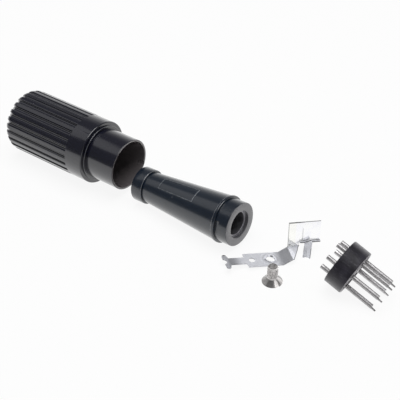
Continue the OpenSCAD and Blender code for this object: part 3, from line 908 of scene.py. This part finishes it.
def nick_cutter():
    """Cuts the nick in the edge of the big end."""
    cutter = block("nick_cutter", (-NICK_W, -NICK_W / 2, BIG_END_R - NICK_H),
                   (1.0, NICK_W / 2, NICK_TOP))
    cutter.data.transform(around(NICK_AT))
    return cutter


sleeve = turned("sleeve_body", sleeve_outline(), 192, tube=True)
cut(sleeve, pocket_cutter())
cut(sleeve, nick_cutter())
finished(sleeve, sleeve_place, sleeve_finish, "sleeve_plastic", "cable_sleeve", sharp=30)


def taper_radius(back):
    """The radius of the taper at a distance behind the big end."""
    share = (back - RING_AT) / (COLLAR_AT - RING_AT)
    return TAPER_R + (THIN_R - TAPER_R) * share


def raised_border():
    """The bare raised border on the taper: a grid with its middle deleted, laid on the cone."""
    nothing_selected()
    bpy.ops.mesh.primitive_grid_add(x_subdivisions=50, y_subdivisions=18, size=2)
    border = bpy.context.object
    border.name = "sleeve_border"
    bpy.ops.object.mode_set(mode="EDIT")
    bpy.ops.mesh.select_all(action="DESELECT")
    bpy.ops.object.mode_set(mode="OBJECT")
    for face in border.data.polygons:
        face.select = max(abs(face.center.x), abs(face.center.y)) < 0.94
    bpy.ops.object.mode_set(mode="EDIT")
    bpy.ops.mesh.select_mode(type="FACE")
    bpy.ops.mesh.delete(type="FACE")
    bpy.ops.object.mode_set(mode="OBJECT")
    # The inner row of points moves until the line has its width
    half_l = (BORDER_TO - BORDER_FROM) / 2
    half_turn = (BORDER_BOTTOM - BORDER_TOP) / 2
    inner_x = 1 - BORDER_LINE / half_l
    inner_y = 1 - BORDER_LINE / (math.radians(half_turn) * BORDER_R)
    for vertex in border.data.vertices:
        x, y = vertex.co.x, vertex.co.y
        if 0.95 < abs(x) < 0.99:
            x = math.copysign(inner_x, x)
        if 0.85 < abs(y) < 0.99:
            y = math.copysign(inner_y, y)
        back = BORDER_TO - (x + 1) * half_l
        vertex.co.x = -back * MM
        put(vertex, taper_radius(back) - BORDER_SUNK, BORDER_TOP + (1 - y) * half_turn)
    applied(border, "SOLIDIFY", thickness=BORDER_THICK * MM, offset=1)
    applied(border, "BEVEL", width=BORDER_THICK / 5 * MM, segments=2, limit_method="ANGLE")
    return border


def moulding_pip():
    """A small round pip left by the mould."""
    nothing_selected()
    bpy.ops.mesh.primitive_uv_sphere_add(segments=24, ring_count=12, radius=PIP_R * MM)
    pip = bpy.context.object
    pip.name = "sleeve_pip"
    on_taper = Matrix.Translation(Vector((-PIP_AT, 0, taper_radius(PIP_AT))) * MM)
    pip.data.transform(around(PIP_TURN) @ on_taper @ Matrix.Diagonal((1, 1, 0.5, 1)))
    return pip


finished(raised_border(), sleeve_place, border_finish, "sleeve_plastic")
finished(moulding_pip(), sleeve_place, sleeve_finish, "sleeve_plastic")


# Clamp screw
def screw_outline():
    """From the head up the cone and the shank to the tip, with close rings for the thread."""
    tip_z = SCREW_L - SCREW_TIP
    foot = rounded((0, HEAD_R - 0.4), (0, HEAD_R, 0.08), (HEAD_RIM, HEAD_R, 0.1),
                   (SHANK_Z, THREAD_R))[:-1]
    shank = [(SHANK_Z + (tip_z - SHANK_Z) * i / THREAD_RINGS, THREAD_R)
             for i in range(THREAD_RINGS + 1)]
    tip = [(SCREW_L - 0.02, THREAD_R - 0.23), (SCREW_L, THREAD_R - 0.3)]
    return foot + shank + tip


def carve_thread(screw):
    """Presses the screw's thread into its shank."""
    for vertex in screw.data.vertices:
        station, radius = station_and_radius(vertex)
        if station < SHANK_Z - 0.001 or radius < THREAD_R - 0.01:
            continue
        angle = angle_from_top(vertex)
        phase = (station / THREAD_PITCH - angle / 360) % 1
        ridge = min(1.0, abs(phase - 0.5) * THREAD_FLANK)
        fade = min(1.0, max(0.0, (station - SHANK_Z) / THREAD_FADE))
        put(vertex, radius - THREAD_H * ridge * fade, angle)


screw = turned("screw_body", screw_outline(), 64)
carve_thread(screw)
screw.data.transform(UPRIGHT)
recess_arm = block("recess_cutter", (-RECESS_L / 2, -RECESS_W / 2, -1.0),
                   (RECESS_L / 2, RECESS_W / 2, RECESS_H))
cross_arm = copied(recess_arm, "cross_cutter")
cross_arm.data.transform(Matrix.Rotation(math.radians(90), 4, "Z"))
cut(screw, recess_arm)
cut(screw, cross_arm)
finished(screw, screw_place, screw_finish, "screw_steel", "clamp_screw", sharp=50)

# Insert
disc_front = DISC_H / 2
disc = turned("insert_body", rounded(
    (-disc_front, 0.4), (-disc_front, DISC_R, DISC_CHAMFER), (disc_front, DISC_R, DISC_ROUND),
    (disc_front, DISC_R - RIM_W, 0.1), (disc_front - RIM_H, DISC_R - RIM_W), (disc_front - RIM_H, 0.4)),
    128)
finished(disc, insert_place, disc_finish, "insert_plastic", "insert_disc")


def contact_pin():
    """A pin on the insert's axis: a short rear end, a thicker middle part, and a long round end with
    a flat tongue."""
    back = -disc_front - PIN_SHORT_L
    collar_back = -disc_front - 0.03
    collar_front = disc_front - RIM_H
    end = disc_front + PIN_LONG_L
    pin = turned("contact_pin", rounded(
        (back, 0.3), (back, PIN_R, 0.08), (collar_back, PIN_R), (collar_back, PIN_COLLAR_R, 0.02),
        (collar_front, PIN_COLLAR_R), (collar_front + PIN_COLLAR_R - PIN_R, PIN_R),
        (end, PIN_R, 0.08), (end, 0.3)), 48)
    tongue = block("tongue", (end - 0.3, -TONGUE_W / 2, -TONGUE_LOW),
                   (end + TONGUE_L, TONGUE_W / 2, TONGUE_T - TONGUE_LOW))
    for vertex in tongue.data.vertices:
        if vertex.co.x > end * MM and vertex.co.z > (TONGUE_T / 2 - TONGUE_LOW) * MM:
            vertex.co.z -= (TONGUE_T - TONGUE_END_T) * MM
    applied(tongue, "BEVEL", width=0.03 * MM, segments=2)
    return joined(pin, tongue)


model_pin = contact_pin()
for number in range(1, 6):
    pin = copied(model_pin, "pin_%d" % number)
    on_circle = around((3 - number) * PIN_STEP) @ Vector((0, 0, PIN_CIRCLE_R * MM))
    pin.data.transform(Matrix.Translation(on_circle))
    finished(pin, insert_place, pin_finish, "pin_metal", "contact_pin_%d" % number)
bpy.data.objects.remove(model_pin)

# Bracket: the CAD sheet with its own finish, and the marks of the stamping tools on it
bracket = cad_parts["bracket"]
bracket.data.materials.clear()
bracket.data.materials.append(steel_finish)


def on_strip(u):
    """The frame of the strip's upper face at a distance from its shoulder."""
    slope = math.radians(STRIP_SLOPE)
    height = STRIP_L * math.tan(slope) * (1 - u / STRIP_L) + SHEET / math.cos(slope)
    return (bracket_place @ Matrix.Translation(Vector((u, 0, height)) * MM) @
            Matrix.Rotation(slope, 4, "Y"))


def tapped_hole_mark(name, outline):
    """A ring round the tapped hole, on the strip."""
    mark = turned(name, outline + [outline[0]], 96, tube=True)
    mark.data.transform(UPRIGHT)
    finished(mark, on_strip(TAPPED_U), steel_finish, "bracket_steel")


# Both reach a little into the sheet, and the collar covers the plain one of the sheet
COLLAR_IN = TAPPED_R - 0.01
COLLAR_OUT = TAPPED_OUT + 0.08
COLLAR_TOP = TAPPED_H + 0.01
COIN_IN = TAPPED_OUT + 0.01
tapped_hole_mark("drawn_collar", rounded(
    (-0.1, COLLAR_IN), (-0.1, COLLAR_OUT), (COLLAR_TOP, COLLAR_OUT, 0.12),
    (COLLAR_TOP, COLLAR_IN, 0.1)))
tapped_hole_mark("coined_ring", rounded(
    (-COIN_H, COIN_IN), (-COIN_H, COIN_R), (COIN_H, COIN_R, 0.04), (COIN_H, COIN_R - 0.25, 0.04),
    (0.02, COIN_R - 0.5), (0.02, COIN_IN)))

# Camera at the photograph's angle
CAMERA_AT = at(135.61, -151.64, 152.15)
CAMERA_AIM = at(16.30, 7.64, 0)
camera_data = bpy.data.cameras.new("camera")
camera_data.lens = 90
camera_data.sensor_width = 36
camera_data.clip_start = 0.01
camera = bpy.data.objects.new("camera", camera_data)
bpy.context.scene.collection.objects.link(camera)
camera.location = CAMERA_AT
camera.rotation_euler = (CAMERA_AIM - CAMERA_AT).to_track_quat("-Z", "Y").to_euler()
bpy.context.scene.camera = camera

# Floor: pale and plain, seen as white, with a faint soft shadow
FLOOR_SIZE = 3
FLOOR_Z = -0.00002
nothing_selected()
bpy.ops.mesh.primitive_grid_add(x_subdivisions=4, y_subdivisions=4, size=FLOOR_SIZE,
                                location=(0, 0, FLOOR_Z))
floor = bpy.context.object
floor.name = "floor"
floor_finish, nodes = material("floor")
camera_ray, glossy_ray, through_ray = [nodes.add("LightPath", out="Is %s Ray" % kind)
                                       for kind in ("Camera", "Glossy", "Transmission")]
white_share = (camera_ray + glossy_ray + through_ray).at_most(1.0) * 0.9
plain = nodes.add("BsdfDiffuse", None, {"Color": (0.9, 0.9, 0.9, 1)})
white = nodes.add("Emission", None, {"Color": (1, 1, 1, 1), "Strength": 1.0})
nodes.add("OutputMaterial", None, {
    "Surface": nodes.add("MixShader", None, {0: white_share, 1: plain, 2: white})})
floor.data.materials.append(floor_finish)


# Light: a box overhead, a dimmer one at the side, and a dim room that is bright low at the back
def light_box(name, position, width, height, radiance):
    """A soft lamp that shines on the middle of the row."""
    data = bpy.data.lights.new(name, "AREA")
    data.shape = "RECTANGLE"
    data.size = width
    data.size_y = height
    data.energy = radiance * math.pi * width * height
    lamp = bpy.data.objects.new(name, data)
    bpy.context.scene.collection.objects.link(lamp)
    lamp.location = position
    lamp.rotation_euler = (-Vector(position)).to_track_quat("-Z", "Y").to_euler()


light_box("overhead", (0.02, 0.0, 0.6), width=0.5, height=0.5, radiance=4.2)
light_box("side", (-0.42, -0.1, 0.42), width=0.36, height=0.26, radiance=0.5)

ROOM_DIM = 0.12
ROOM_GLOW = 0.62
world = bpy.data.worlds.new("studio")
bpy.context.scene.world = world
world.use_nodes = True
nodes = Nodes(world.node_tree)
direction = nodes.add("TexCoord", out="Generated")
upward = nodes.axes(direction)[2]
away = (CAMERA_AIM - CAMERA_AT).to_2d().to_3d().normalized()
towards_back = nodes.add("VectorMath", {"operation": "DOT_PRODUCT"}, {0: direction, 1: away}, "Value")
glow = (1 - upward.from_to(0.0, 0.68)) * towards_back.from_to(0.1, 0.75)
camera_ray = nodes.add("LightPath", out="Is Camera Ray")
strength = level(camera_ray, ROOM_DIM + glow * ROOM_GLOW, 1.0)
nodes.add("OutputWorld", None, {
    "Surface": nodes.add("Background", None, {"Color": (1, 1, 1, 1), "Strength": strength})})

bpy.context.scene.view_settings.view_transform = "Standard"
